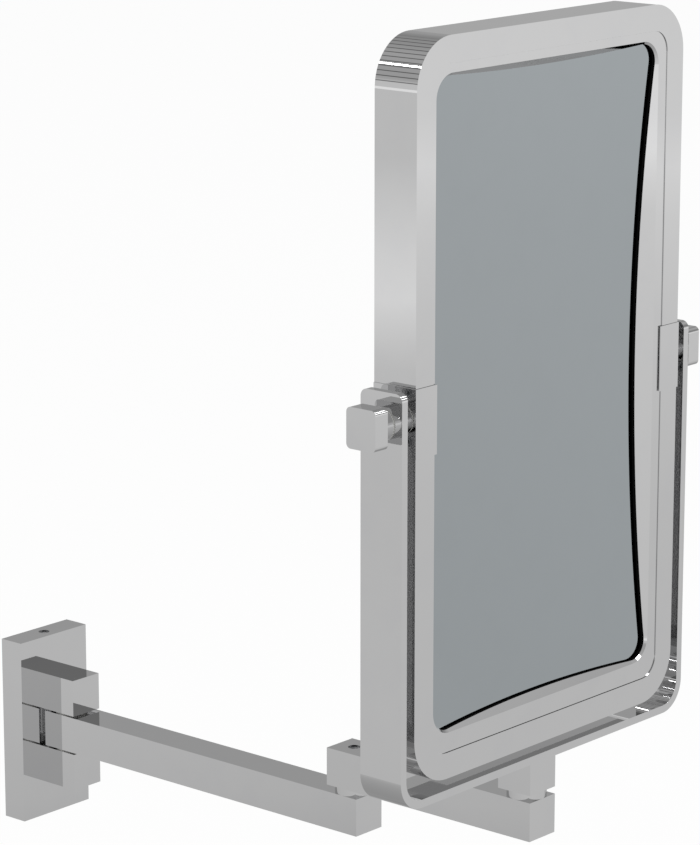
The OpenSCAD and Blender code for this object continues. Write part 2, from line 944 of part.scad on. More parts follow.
wall_cover_plate();
wall_bracket();
grub_screw();
upper_jaw();
lower_jaw();
jaw_screws();
fork_pin();
fork_washers();
inner_arm();
elbow_spacer();
elbow_pin();
elbow_spring_washer();
elbow_lock_screw();
outer_arm();
yoke_spacer();
yoke_pin();
yoke_spring_washer();
yoke_lock_screw();
yoke_block();
yoke_screws();
yoke();
yoke_washers();
mirror_frame();
front_bezel();
front_gasket();
magnifying_glass();
foam_pad();
backing_board();
plain_glass();
back_gasket();
rear_ring();
ring_screws();
left_clip();
right_clip();
pivot_bosses();
clip_screws();
pivot_nuts();
left_knob();
left_stud();
right_knob();
right_stud();
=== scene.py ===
# %% [markdown]
# # An extendable makeup mirror for a wall
# A two-bar swing arm carries a U-shaped yoke, and a two-sided rectangular mirror tilts in it.
# Nearly all of it is polished chrome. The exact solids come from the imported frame. This script
# gives each one its finish, makes the hollow glass smooth, closes the seams at the tilt axis, and
# sets up the studio that the chrome reflects.

import json
import math

import bmesh
import bpy
from mathutils import Matrix, Vector


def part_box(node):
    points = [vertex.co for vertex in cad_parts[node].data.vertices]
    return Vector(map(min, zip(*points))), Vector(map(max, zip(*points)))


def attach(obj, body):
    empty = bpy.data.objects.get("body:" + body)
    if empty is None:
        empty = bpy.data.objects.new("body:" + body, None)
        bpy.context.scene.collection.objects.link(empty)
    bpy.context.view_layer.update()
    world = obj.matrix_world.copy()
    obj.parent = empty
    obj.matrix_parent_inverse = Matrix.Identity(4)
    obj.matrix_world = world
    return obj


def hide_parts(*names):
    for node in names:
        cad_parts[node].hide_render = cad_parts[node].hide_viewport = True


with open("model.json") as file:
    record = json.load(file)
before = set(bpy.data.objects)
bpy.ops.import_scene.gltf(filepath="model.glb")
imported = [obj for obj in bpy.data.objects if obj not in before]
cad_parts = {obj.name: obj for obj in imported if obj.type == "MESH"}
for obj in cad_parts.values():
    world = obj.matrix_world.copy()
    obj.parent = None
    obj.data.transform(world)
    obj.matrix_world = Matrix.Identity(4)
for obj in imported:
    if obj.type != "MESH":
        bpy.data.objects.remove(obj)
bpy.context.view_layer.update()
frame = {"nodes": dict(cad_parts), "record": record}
nodes = frame["nodes"]

# %% [markdown]
# ## The camera
# The photograph looks slightly down at the mirror from its front left, from about 1.4 metres,
# through a long lens. The camera's place, direction and lens were fitted to edges measured in the
# photograph. The lens is given for the picture's long side, which is its height.

# %% Camera
CAMERA_AT = (-1.0600, -1.1042, 0.4938)
CAMERA_AZIMUTH = -49.0788
CAMERA_ELEVATION = -13.2426
LENS_MM = 152.39
SENSOR_MM = 36

camera_data = bpy.data.cameras.new("camera")
camera_data.sensor_fit = "AUTO"
camera_data.sensor_width = SENSOR_MM
camera_data.lens = LENS_MM
camera = bpy.data.objects.new("camera", camera_data)
camera.location = CAMERA_AT
camera.rotation_euler = (
    math.radians(90 + CAMERA_ELEVATION),
    0,
    math.radians(CAMERA_AZIMUTH),
)
bpy.context.scene.collection.objects.link(camera)
bpy.context.scene.camera = camera
print("camera at", CAMERA_AT)

# %% [markdown]
# ## Nodes in code
# A material is a tree of nodes. A few small helpers keep the code short. One adds a node and sets
# its plain sockets, one starts an empty material, one makes a ramp from a list of stops, and one
# mixes two colours. The Mix node has hidden sockets for plain numbers and vectors, so its two
# colours are found by their place in the list and not by their name.


# %% Node helpers
MIX_LOW = 6
MIX_HIGH = 7
MIX_RESULT = 2


def add_node(tree, kind, place=(0, 0), **values):
    node = tree.nodes.new(kind)
    node.location = place
    for name, value in values.items():
        if name in node.inputs:
            node.inputs[name].default_value = value
        else:
            setattr(node, name, value)
    return node


def new_material(name):
    made = bpy.data.materials.new(name)
    made.use_nodes = True
    made.node_tree.nodes.clear()
    return made


def ramp(tree, place, stops, interpolation="LINEAR"):
    """A ramp of greys, from pairs of a position and a value."""
    node = add_node(tree, "ShaderNodeValToRGB", place)
    node.color_ramp.interpolation = interpolation
    points = node.color_ramp.elements
    while len(points) < len(stops):
        points.new(0.5)
    for point, (position, value) in zip(points, stops):
        point.position = position
        point.color = (value, value, value, 1)
    return node


def mix_colours(tree, place, share, low, high):
    node = add_node(tree, "ShaderNodeMix", place, data_type="RGBA")
    tree.links.new(share, node.inputs[0])
    tree.links.new(low, node.inputs[MIX_LOW])
    tree.links.new(high, node.inputs[MIX_HIGH])
    return node.outputs[MIX_RESULT]


# %% [markdown]
# ## The studio's world
# The photograph's background is pure white. The world is white for what the camera sees
# directly, and for what it sees in metal and through glass, so the chrome shows it too. The light
# that falls on dull surfaces comes from the same world at a plain level. The Light Path node tells
# the two apart.


# %% Seen rays
def seen_rays(tree):
    """1 where a ray comes from the camera, from a mirror or through glass, else 0."""
    path = add_node(tree, "ShaderNodeLightPath", (-1100, 300))
    first = add_node(tree, "ShaderNodeMath", (-900, 300), operation="MAXIMUM")
    both = add_node(tree, "ShaderNodeMath", (-700, 300), operation="MAXIMUM")
    tree.links.new(path.outputs["Is Camera Ray"], first.inputs[0])
    tree.links.new(path.outputs["Is Glossy Ray"], first.inputs[1])
    tree.links.new(first.outputs[0], both.inputs[0])
    tree.links.new(path.outputs["Is Transmission Ray"], both.inputs[1])
    return both.outputs[0]


# %% World
WORLD_LIGHT = 0.85
WHITE = (1, 1, 1, 1)

world = bpy.data.worlds.new("studio_world")
bpy.context.scene.world = world
world.use_nodes = True
tree = world.node_tree
tree.nodes.clear()
dull = add_node(tree, "ShaderNodeBackground", (-300, -100), Color=WHITE, Strength=WORLD_LIGHT)
white = add_node(tree, "ShaderNodeBackground", (-300, -250), Color=WHITE, Strength=1.0)
mix = add_node(tree, "ShaderNodeMixShader", (-50, 0))
out = add_node(tree, "ShaderNodeOutputWorld", (150, 0))
tree.links.new(seen_rays(tree), mix.inputs[0])
tree.links.new(dull.outputs[0], mix.inputs[1])
tree.links.new(white.outputs[0], mix.inputs[2])
tree.links.new(mix.outputs[0], out.inputs["Surface"])
bpy.context.scene.view_settings.view_transform = "Standard"
print("world light", WORLD_LIGHT)

# %% [markdown]
# ## What the chrome reflects
# Chrome has no colour of its own: what it shows is the room. So the studio is made by reading the
# photograph backwards: each face of the mirror says how bright the room is in the direction that
# it reflects. Such a tone often changes from one side of the room to another. This helper says how
# far a point lies towards a compass side. Side 0 is straight in front of the wall plate, and 90 is
# to the viewer's right.


# %% Towards a side
WIDE_SIDE = (0.35, 0.9)
NARROW_SIDE = (0.72, 0.95)


def towards_side(tree, place, spot, azimuth, fade=WIDE_SIDE):
    """0 where a point lies away from a compass side, rising to 1 towards it."""
    left_edge, row = place
    turn = math.radians(azimuth)
    flat = add_node(tree, "ShaderNodeVectorMath", place, operation="MULTIPLY")
    flat.inputs[1].default_value = (1, 1, 0)
    unit = add_node(tree, "ShaderNodeVectorMath", (left_edge + 170, row), operation="NORMALIZE")
    side = add_node(tree, "ShaderNodeVectorMath", (left_edge + 340, row), operation="DOT_PRODUCT")
    side.inputs[1].default_value = (math.sin(turn), -math.cos(turn), 0)
    start, full = fade
    share = ramp(tree, (left_edge + 510, row), [(start, 0.0), (full, 1.0)], "EASE")
    tree.links.new(spot, flat.inputs[0])
    tree.links.new(flat.outputs[0], unit.inputs[0])
    tree.links.new(unit.outputs[0], side.inputs[0])
    tree.links.new(side.outputs["Value"], share.inputs["Fac"])
    return share.outputs["Color"]


# %% [markdown]
# ## The floor
# The front and side faces look slightly down in this view, so they show the floor. What they show
# of it is painted light and shade: painted shade, darkest near the object and paler further off,
# and a painted pool of light to each side. A flat disc that glows with these tones by distance
# does this. The camera sees it as white, like the world, with a small share of plain paint so that
# it keeps the object's shadow.

# %% Floor
FLOOR_Z = -0.36
FLOOR_RADIUS = 9.0


def link_piece(name, bm, smooth=False):
    """Turns a bmesh into an object in the scene."""
    mesh = bpy.data.meshes.new(name)
    bm.to_mesh(mesh)
    bm.free()
    for face in mesh.polygons:
        face.use_smooth = smooth
    piece = bpy.data.objects.new(name, mesh)
    bpy.context.scene.collection.objects.link(piece)
    return piece


bm = bmesh.new()
bmesh.ops.create_circle(bm, cap_ends=True, segments=96, radius=FLOOR_RADIUS)
floor = link_piece("pale_floor", bm)
floor.location = (0, 0, FLOOR_Z)
print("floor at", FLOOR_Z)

# %% [markdown]
# ## The floor's painted light and shade
# Each list gives a tone at a distance in metres from the middle of the floor. All but the right
# side share the tones near the object. The low tones near the object are painted shade, darkest on
# the right side. The brighter tones further off, with their peaks to the front and the left, are
# painted light. The lists are mixed by compass side.

# %% Floor tones
# Painted shade near the object, and painted pools of light further off, as glowing tones.
NEAR_PAINTED_SHADE = [(0.0, 0.35), (0.7, 0.46), (0.95, 0.59), (1.25, 0.64)]
ELSEWHERE = NEAR_PAINTED_SHADE + [(1.7, 0.70), (3.2, 0.77), (3.75, 0.80), (4.3, 1.0), (5.5, 0.92)]
FRONT_FLOOR = NEAR_PAINTED_SHADE + [(2.1, 0.66), (3.0, 0.74), (3.7, 0.82), (4.15, 0.91), (4.7, 0.83)]
LEFT_FLOOR = NEAR_PAINTED_SHADE + [(2.1, 0.64), (2.5, 0.69), (2.9, 0.91), (3.25, 0.85), (4.0, 0.68)]
RIGHT_FLOOR = [(0.0, 0.30), (1.0, 0.40), (1.2, 0.50), (1.5, 0.70), (3.0, 0.72)]
FRONT_FLOOR_SIDE = 50
LEFT_FLOOR_SIDE = -130
RIGHT_FLOOR_SIDE = 92

floor_finish = new_material("pale_floor")
tree = floor_finish.node_tree
spot = add_node(tree, "ShaderNodeTexCoord", (-1100, 0))
reach = add_node(tree, "ShaderNodeVectorMath", (-900, 0), operation="LENGTH")
share = add_node(tree, "ShaderNodeMath", (-750, 0), operation="DIVIDE")
share.inputs[1].default_value = FLOOR_RADIUS
tree.links.new(spot.outputs["Object"], reach.inputs[0])
tree.links.new(reach.outputs["Value"], share.inputs[0])


def floor_painted_tone(place, stops):
    """The floor's painted light and shade by distance in metres."""
    node = ramp(tree, place, [(metres / FLOOR_RADIUS, value) for metres, value in stops])
    tree.links.new(share.outputs[0], node.inputs["Fac"])
    return node.outputs["Color"]


aside = floor_painted_tone((-550, -50), ELSEWHERE)
front = floor_painted_tone((-550, -300), FRONT_FLOOR)
left = floor_painted_tone((-550, -550), LEFT_FLOOR)
right = floor_painted_tone((-550, -800), RIGHT_FLOOR)
to_front = towards_side(tree, (-1100, -800), spot.outputs["Object"], FRONT_FLOOR_SIDE)
to_left = towards_side(tree, (-1100, -1000), spot.outputs["Object"], LEFT_FLOOR_SIDE)
to_right = towards_side(tree, (-1100, -1200), spot.outputs["Object"], RIGHT_FLOOR_SIDE, NARROW_SIDE)
# The floor's painted light and shade, mixed by compass side.
floor_painted_light_and_shade = mix_colours(tree, (-350, -150), to_front, aside, front)
floor_painted_light_and_shade = mix_colours(tree, (-350, -350), to_left, floor_painted_light_and_shade, left)
floor_painted_light_and_shade = mix_colours(tree, (-350, -550), to_right, floor_painted_light_and_shade, right)
print("floor tones:", len(tree.nodes), "nodes")

# %% [markdown]
# ## What the camera sees of the floor
# An emission glows with the painted tones exactly, whatever the lamps do. For the camera its colour
# is white.
# The paint's share is for the camera only: in the chrome it would lift every tone.

# %% Floor finish
FLOOR_SHADOW = 0.15
FLOOR_PALE = (0.95, 0.95, 0.95, 1)

path = add_node(tree, "ShaderNodeLightPath", (-550, 400))
straight = add_node(tree, "ShaderNodeMix", (-250, 200), data_type="RGBA")
straight.inputs[MIX_HIGH].default_value = WHITE
tree.links.new(path.outputs["Is Camera Ray"], straight.inputs[0])
tree.links.new(floor_painted_light_and_shade, straight.inputs[MIX_LOW])
glow = add_node(tree, "ShaderNodeEmission", (0, 100), Strength=1.0)
tree.links.new(straight.outputs[MIX_RESULT], glow.inputs["Color"])
paint = add_node(tree, "ShaderNodeBsdfDiffuse", (0, -100), Color=FLOOR_PALE)
keep = add_node(tree, "ShaderNodeMath", (0, 350), operation="MULTIPLY_ADD")
keep.inputs[1].default_value = -FLOOR_SHADOW
tree.links.new(path.outputs["Is Camera Ray"], keep.inputs[0])
tree.links.new(seen_rays(tree), keep.inputs[2])
mix = add_node(tree, "ShaderNodeMixShader", (250, 0))
out = add_node(tree, "ShaderNodeOutputMaterial", (450, 0))
tree.links.new(keep.outputs[0], mix.inputs[0])
tree.links.new(paint.outputs[0], mix.inputs[1])
tree.links.new(glow.outputs[0], mix.inputs[2])
tree.links.new(mix.outputs[0], out.inputs["Surface"])
floor.data.materials.append(floor_finish)
print("floor shadow share", FLOOR_SHADOW)

# %% [markdown]
# ## The walls
# The top faces and the round corners show what is above the horizon: a grey studio wall. The wall
# is a dome round the mirror that glows with its tones by height. These tones are painted light and
# shade of a lit wall, which no lamp lights. It is only for the reflections, as a photographer's
# card is, so the camera, the shadows and the dull surfaces don't see it.

# %% Walls
WALL_RADIUS = 8.0
MIRROR_MIDDLE = Vector((0, -0.2776, 0.193))

bm = bmesh.new()
bmesh.ops.create_uvsphere(bm, u_segments=96, v_segments=48, radius=WALL_RADIUS)
bmesh.ops.bisect_plane(
    bm,
    geom=bm.verts[:] + bm.edges[:] + bm.faces[:],
    plane_co=(0, 0, 0),
    plane_no=(0, 0, 1),
    clear_inner=True,
)
bmesh.ops.reverse_faces(bm, faces=bm.faces[:])
walls = link_piece("studio_walls", bm, smooth=True)
walls.location = MIRROR_MIDDLE
walls.visible_camera = False
walls.visible_diffuse = False
walls.visible_transmission = False
walls.visible_shadow = False
print("walls", WALL_RADIUS, "metres from the mirror")

# %% [markdown]
# ## The walls' tones
# Each list gives a tone at a height above the horizon in degrees. The tones are painted light and
# shade, as the wall glows. A metal face seen at a flat angle reflects more than its plating's
# share, so the back wall, which the top faces show, is darker than their tone alone would say.

# %% Wall tones
# Painted light and shade: the wall's glow at each height.
LEFT_WALL = [(0, 0.70), (6.5, 0.69), (11, 0.48), (16, 0.44), (27, 0.44), (45, 0.46), (90, 0.42)]
BACK_WALL = [(0, 0.50), (8, 0.44), (13, 0.39), (22, 0.385), (34, 0.30), (45, 0.36), (90, 0.42)]
FRONT_WALL = [(0, 0.80), (7, 0.50), (15, 0.22), (24, 0.34), (36, 0.53), (90, 0.42)]
BACK_WALL_SIDE = 131
FRONT_WALL_SIDE = 45

wall_finish = new_material("studio_walls")
tree = wall_finish.node_tree
spot = add_node(tree, "ShaderNodeTexCoord", (-1500, 0))
parts = add_node(tree, "ShaderNodeSeparateXYZ", (-1300, 0))
tree.links.new(spot.outputs["Object"], parts.inputs[0])
height = add_node(tree, "ShaderNodeMath", (-1100, 0), operation="DIVIDE")
height.inputs[1].default_value = WALL_RADIUS
tree.links.new(parts.outputs["Z"], height.inputs[0])
angle = add_node(tree, "ShaderNodeMath", (-950, 0), operation="ARCSINE")
tree.links.new(height.outputs[0], angle.inputs[0])
rise = add_node(tree, "ShaderNodeMath", (-800, 0), operation="DIVIDE")
rise.inputs[1].default_value = math.pi / 2
tree.links.new(angle.outputs[0], rise.inputs[0])


def wall_painted_tone(place, stops):
    """The wall's painted light and shade by height above the horizon in degrees."""
    node = ramp(tree, place, [(degrees / 90, value) for degrees, value in stops])
    tree.links.new(rise.outputs[0], node.inputs["Fac"])
    return node.outputs["Color"]


left = wall_painted_tone((-600, 400), LEFT_WALL)
back = wall_painted_tone((-600, 150), BACK_WALL)
front = wall_painted_tone((-600, -100), FRONT_WALL)
to_back = towards_side(tree, (-1100, -300), spot.outputs["Object"], BACK_WALL_SIDE)
to_front = towards_side(tree, (-1100, -500), spot.outputs["Object"], FRONT_WALL_SIDE)
# The wall's painted light and shade, mixed by compass side.
wall_painted_light = mix_colours(tree, (-350, 250), to_back, left, back)
wall_painted_light = mix_colours(tree, (-350, 50), to_front, wall_painted_light, front)
print("wall tones:", len(tree.nodes), "nodes")

# %% [markdown]
# ## The joints in the wall
# The frame's round corner shows fine dark lines, so the wall there is made of boards with thin
# dark joints. They run from front to back, one every few degrees of the angle round the mirror.
# They start a little to the right of overhead and go down the left side, on the wall's back half
# only, because nothing in the photograph shows them elsewhere.

# %% Wall joints
JOINT_STEP = math.radians(11)
JOINT_TONES = [(0.0, 1.0), (0.38, 1.0), (0.44, 0.3), (0.56, 0.3), (0.62, 1.0)]
JOINTS_START = math.radians(45)
JOINTS_FULL = math.radians(60)
JOINTS_BEHIND_START = 0.25 * WALL_RADIUS
JOINTS_BEHIND_FULL = 0.5 * WALL_RADIUS


def fade_in(place, amount, start, full):
    """0 up to the start, rising to 1 at the full amount."""
    node = add_node(tree, "ShaderNodeMapRange", place, clamp=True)
    node.inputs["From Min"].default_value = start
    node.inputs["From Max"].default_value = full
    tree.links.new(amount, node.inputs["Value"])
    return node.outputs[0]


around = add_node(tree, "ShaderNodeMath", (-950, 600), operation="ARCTAN2")
tree.links.new(parts.outputs["Z"], around.inputs[0])
tree.links.new(parts.outputs["X"], around.inputs[1])
boards = add_node(tree, "ShaderNodeMath", (-850, 600), operation="DIVIDE")
boards.inputs[1].default_value = JOINT_STEP
tree.links.new(around.outputs[0], boards.inputs[0])
joints = add_node(tree, "ShaderNodeMath", (-750, 600), operation="FRACT")
tree.links.new(boards.outputs[0], joints.inputs[0])
thin = ramp(tree, (-550, 650), JOINT_TONES)
tree.links.new(joints.outputs[0], thin.inputs["Fac"])
overhead = fade_in((-550, 900), around.outputs[0], JOINTS_START, JOINTS_FULL)
behind = fade_in((-550, 1150), parts.outputs["Y"], JOINTS_BEHIND_START, JOINTS_BEHIND_FULL)
shown = add_node(tree, "ShaderNodeMath", (-350, 900), operation="MULTIPLY")
tree.links.new(overhead, shown.inputs[0])
tree.links.new(behind, shown.inputs[1])
lined = add_node(tree, "ShaderNodeMix", (-100, 0), data_type="RGBA", blend_type="MULTIPLY")
tree.links.new(shown.outputs[0], lined.inputs[0])
tree.links.new(wall_painted_light, lined.inputs[MIX_LOW])
tree.links.new(thin.outputs["Color"], lined.inputs[MIX_HIGH])
glow = add_node(tree, "ShaderNodeEmission", (250, 0), Strength=1.0)
tree.links.new(lined.outputs[MIX_RESULT], glow.inputs["Color"])
out = add_node(tree, "ShaderNodeOutputMaterial", (450, 0))
tree.links.new(glow.outputs[0], out.inputs["Surface"])
walls.data.materials.append(wall_finish)
print("joints every", round(math.degrees(JOINT_STEP), 1), "degrees")

# %% [markdown]
# ## The lamps
# Where a lamp stands decides which edge it lights, because a round edge reflects each direction
# along one line only. The left softbox draws the bright line round the frame's corner, the two
# small ones on the right draw two lines on the top edges of knobs and yoke, and the front one
# gives soft light from above.


# %% Lamps
LAMP_DISTANCE = 4.0


def softbox(name, azimuth, elevation, width, height, watts):
    """A rectangular lamp that faces the mirror from a compass side and height."""
    side = math.radians(azimuth)
    up = math.radians(elevation)
    level = math.cos(up)
    towards = Vector((math.sin(side) * level, -math.cos(side) * level, math.sin(up)))
    light = bpy.data.lights.new(name, "AREA")
    light.shape = "RECTANGLE"
    light.size = width
    light.size_y = height
    light.energy = watts
    lamp = bpy.data.objects.new(name, light)
    lamp.location = MIRROR_MIDDLE + towards * LAMP_DISTANCE
    lamp.rotation_euler = towards.to_track_quat("Z", "Y").to_euler()
    lamp.visible_camera = False
    bpy.context.scene.collection.objects.link(lamp)
    print(name, "at", [round(place, 2) for place in lamp.location])


softbox("left_softbox", azimuth=-139.5, elevation=35.3, width=2.2, height=0.11, watts=14)
softbox("front_softbox", azimuth=20, elevation=50, width=1.6, height=0.6, watts=18)
softbox("low_right_softbox", azimuth=51.4, elevation=19.8, width=0.16, height=0.16, watts=0.55)
softbox("right_softbox", azimuth=68.7, elevation=37.9, width=0.16, height=0.16, watts=0.8)

# %% [markdown]
# ## Polish
# Chrome plating is a mirror with a trace of unevenness: the polish before plating leaves very
# low waves, and handling leaves faint haze. Several bright finishes share this, so it's one node
# group with its own inputs, placed in each material with its own values. It puts out a roughness,
# a normal and the haze's mask. The material keeps the shader.


# %% Group: polish
def new_group(name, inputs, outputs):
    """An empty node group with numbers in, and the node for each end."""
    made = bpy.data.node_groups.new(name, "ShaderNodeTree")
    for label, value in inputs:
        socket = made.interface.new_socket(label, in_out="INPUT", socket_type="NodeSocketFloat")
        socket.default_value = value
    for label, kind in outputs:
        made.interface.new_socket(label, in_out="OUTPUT", socket_type=kind)
    group_in = add_node(made, "NodeGroupInput", (-1200, 0))
    group_out = add_node(made, "NodeGroupOutput", (600, 0))
    return made, group_in, group_out


polish, polish_in, polish_out = new_group(
    "polish",
    [("Roughness", 0.03), ("Haze", 0.02), ("Wave mm", 0.0004), ("Haze scale", 60.0)],
    [("Roughness", "NodeSocketFloat"), ("Normal", "NodeSocketVector"), ("Haze", "NodeSocketFloat")],
)
spot = add_node(polish, "ShaderNodeTexCoord", (-1200, -300))
haze = add_node(polish, "ShaderNodeTexNoise", (-900, -100), Detail=4.0, Roughness=0.6)
polish.links.new(spot.outputs["Object"], haze.inputs["Vector"])
polish.links.new(polish_in.outputs["Haze scale"], haze.inputs["Scale"])
patch = ramp(polish, (-700, -100), [(0.42, 0.0), (0.72, 1.0)], "EASE")
polish.links.new(haze.outputs["Fac"], patch.inputs["Fac"])
added = add_node(polish, "ShaderNodeMath", (-400, 0), operation="MULTIPLY_ADD")
polish.links.new(patch.outputs["Color"], added.inputs[0])
polish.links.new(polish_in.outputs["Haze"], added.inputs[1])
polish.links.new(polish_in.outputs["Roughness"], added.inputs[2])
wave = add_node(polish, "ShaderNodeTexNoise", (-900, -400), Scale=28.0, Detail=1.0)
polish.links.new(spot.outputs["Object"], wave.inputs["Vector"])
low = add_node(polish, "ShaderNodeMath", (-650, -400), operation="MULTIPLY")
polish.links.new(wave.outputs["Fac"], low.inputs[0])
polish.links.new(polish_in.outputs["Wave mm"], low.inputs[1])
bump = add_node(polish, "ShaderNodeBump", (-400, -400), Strength=1.0, Distance=0.001)
polish.links.new(low.outputs[0], bump.inputs["Height"])
polish.links.new(added.outputs[0], polish_out.inputs["Roughness"])
polish.links.new(bump.outputs["Normal"], polish_out.inputs["Normal"])
polish.links.new(patch.outputs["Color"], polish_out.inputs["Haze"])
print("polish has", len(polish.nodes), "nodes")

# %% [markdown]
# ## Bright finishes
# The bars, the yoke, the frame and the knobs are chromed metal, and the bezel is chromed plastic,
# a little less even. Their tones after one, five, six and seven reflections all agree on chrome
# that gives back 0.70 of the light. The glass is silvered on its back, so the light passes the
# glass twice, which makes it darker and slightly blue. The screws and pins are plain steel.


# %% Bright finishes
def bright_finish(name, colour, roughness, haze, wave, tint):
    """A polished metal or plated surface, with the polish group's haze and waves."""
    made = new_material(name)
    tree = made.node_tree
    surface = add_node(tree, "ShaderNodeBsdfPrincipled", (300, 0), Metallic=1.0)
    out = add_node(tree, "ShaderNodeOutputMaterial", (600, 0))
    effect = add_node(tree, "ShaderNodeGroup", (-200, -100), node_tree=polish)
    effect.inputs["Roughness"].default_value = roughness
    effect.inputs["Haze"].default_value = haze
    effect.inputs["Wave mm"].default_value = wave
    hazed = [part * share for part, share in zip(colour, tint)]
    shade = add_node(tree, "ShaderNodeMix", (0, 150), data_type="RGBA")
    shade.inputs[MIX_LOW].default_value = (*colour, 1)
    shade.inputs[MIX_HIGH].default_value = (*hazed, 1)
    tree.links.new(effect.outputs["Haze"], shade.inputs[0])
    tree.links.new(shade.outputs[MIX_RESULT], surface.inputs["Base Color"])
    tree.links.new(effect.outputs["Roughness"], surface.inputs["Roughness"])
    tree.links.new(effect.outputs["Normal"], surface.inputs["Normal"])
    tree.links.new(surface.outputs[0], out.inputs["Surface"])
    print("finish", name)
    return made


CHROME = (0.70, 0.70, 0.702)
SILVERED = (0.425, 0.458, 0.475)
STEEL = (0.50, 0.51, 0.52)

chrome = bright_finish("polished_chrome", CHROME, 0.015, 0.015, 0.02, (0.985, 0.985, 0.99))
plated = bright_finish("plated_plastic", CHROME, 0.02, 0.02, 0.03, (0.98, 0.98, 0.985))
glass = bright_finish("silvered_glass", SILVERED, 0.005, 0.004, 0.0, (0.99, 0.99, 0.99))
steel = bright_finish("plain_steel", STEEL, 0.22, 0.08, 0.05, (0.9, 0.9, 0.9))

# %% [markdown]
# ## Dull finishes
# The gasket is black rubber, the washers are nylon, and a foam pad and a board fill the mirror.
# None of them is a mirror, so a fine grain in colour, roughness and height is enough. The rubber
# is matt and nearly black, as the line round the glass is in the photograph.


# %% Dull finishes
def dull_finish(name, colour, dark, roughness, grain, depth, shine=0.5):
    """Rubber, nylon, foam or board: a fine grain in colour and height."""
    made = new_material(name)
    tree = made.node_tree
    surface = add_node(tree, "ShaderNodeBsdfPrincipled", (300, 0))
    surface.inputs["Specular IOR Level"].default_value = shine
    out = add_node(tree, "ShaderNodeOutputMaterial", (600, 0))
    spot = add_node(tree, "ShaderNodeTexCoord", (-900, 0))
    noise = add_node(tree, "ShaderNodeTexNoise", (-650, 0), Scale=grain, Detail=6.0)
    tree.links.new(spot.outputs["Object"], noise.inputs["Vector"])
    shade = add_node(tree, "ShaderNodeMix", (0, 150), data_type="RGBA")
    shade.inputs[MIX_LOW].default_value = (*colour, 1)
    shade.inputs[MIX_HIGH].default_value = (*dark, 1)
    tree.links.new(noise.outputs["Fac"], shade.inputs[0])
    smoother = roughness - 0.1
    rougher = roughness + 0.1
    rough = ramp(tree, (-300, -100), [(0.3, smoother), (0.7, rougher)])
    tree.links.new(noise.outputs["Fac"], rough.inputs["Fac"])
    bump = add_node(tree, "ShaderNodeBump", (0, -300), Strength=0.6, Distance=depth)
    tree.links.new(noise.outputs["Fac"], bump.inputs["Height"])
    tree.links.new(shade.outputs[MIX_RESULT], surface.inputs["Base Color"])
    tree.links.new(rough.outputs["Color"], surface.inputs["Roughness"])
    tree.links.new(bump.outputs["Normal"], surface.inputs["Normal"])
    tree.links.new(surface.outputs[0], out.inputs["Surface"])
    print("finish", name)
    return made


BLACK = (0.004, 0.004, 0.004)
DEEP_BLACK = (0.002, 0.002, 0.002)
RUBBER_SHINE = 0.05

rubber = dull_finish("black_rubber", BLACK, DEEP_BLACK, 0.75, 900.0, 0.00002, RUBBER_SHINE)
nylon = dull_finish("nylon", (0.62, 0.62, 0.60), (0.52, 0.52, 0.50), 0.5, 500.0, 0.00002)
foam = dull_finish("foam", (0.05, 0.05, 0.055), (0.03, 0.03, 0.033), 0.9, 700.0, 0.0002)
board = dull_finish("board", (0.30, 0.28, 0.25), (0.22, 0.20, 0.18), 0.8, 300.0, 0.00005)

# %% [markdown]
# ## Finish for each solid
# The frame's record names a material slot for each node. Here each slot gets its finish.

# %% Give each CAD node its finish
FINISHES = {
    "chrome": chrome,
    "steel": steel,
    "chromed_plastic": plated,
    "mirror_glass": glass,
    "black_rubber": rubber,
    "nylon": nylon,
    "foam": foam,
    "board": board,
}
slot_of = {subpart["node"]: subpart["material_slot"] for subpart in frame["record"]["subparts"]}
for name, node in nodes.items():
    for material_slot in node.material_slots:
        material_slot.material = FINISHES[slot_of[name]]
print(len(nodes), "nodes have a finish")

# %% [markdown]
# ## The hollow glass
# The CAD glass is made of narrow cones, which would show as rings in a mirror. The real one is
# one smooth hollow, which the photograph's lip line shows to be bent more tightly across the
# mirror than along it. So this piece is a fine grid pushed onto a ball face that is squeezed
# across. It has the CAD glass's outline, and its rim lies under the gasket.

# %% Magnifying glass: outline
GLASS_CORNER = 0.0131
CORNER_CUTS = (15, 30, 45, 60, 75)

low_corner, high_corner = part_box("magnifying_glass")
glass_middle = (low_corner + high_corner) / 2
glass_w = high_corner.x - low_corner.x
glass_h = high_corner.z - low_corner.z

bm = bmesh.new()
bmesh.ops.create_grid(bm, x_segments=72, y_segments=128, size=0.5)
bmesh.ops.scale(bm, vec=(glass_w, glass_h, 1), verts=bm.verts)
for across in (-1, 1):
    for along in (-1, 1):
        centre = Vector((
            across * (glass_w / 2 - GLASS_CORNER),
            along * (glass_h / 2 - GLASS_CORNER),
            0,
        ))
        for turn in CORNER_CUTS:
            angle = math.radians(turn)
            outward = Vector((across * math.cos(angle), along * math.sin(angle), 0))
            bmesh.ops.bisect_plane(
                bm,
                geom=bm.verts[:] + bm.edges[:] + bm.faces[:],
                plane_co=centre + outward * GLASS_CORNER,
                plane_no=outward,
                clear_outer=True,
            )
print("glass outline, mm:", round(1000 * glass_w, 1), "by", round(1000 * glass_h, 1))

# %% [markdown]
# ## The bend of the glass
# The grid is stood up to face forwards, and each of its points is pushed back to the hollow face.
# Solidify gives it the glass's thickness. Its edge stays sharp and its face is shaded smooth.

# %% Magnifying glass: hollow
FRONT_Y = -0.2876
GLASS_DEPTH = 0.0090
GLASS_THICK = 0.002
BEND_RADIUS = 1.8026
SQUEEZE = 0.752
SHARP_EDGE = math.radians(40)

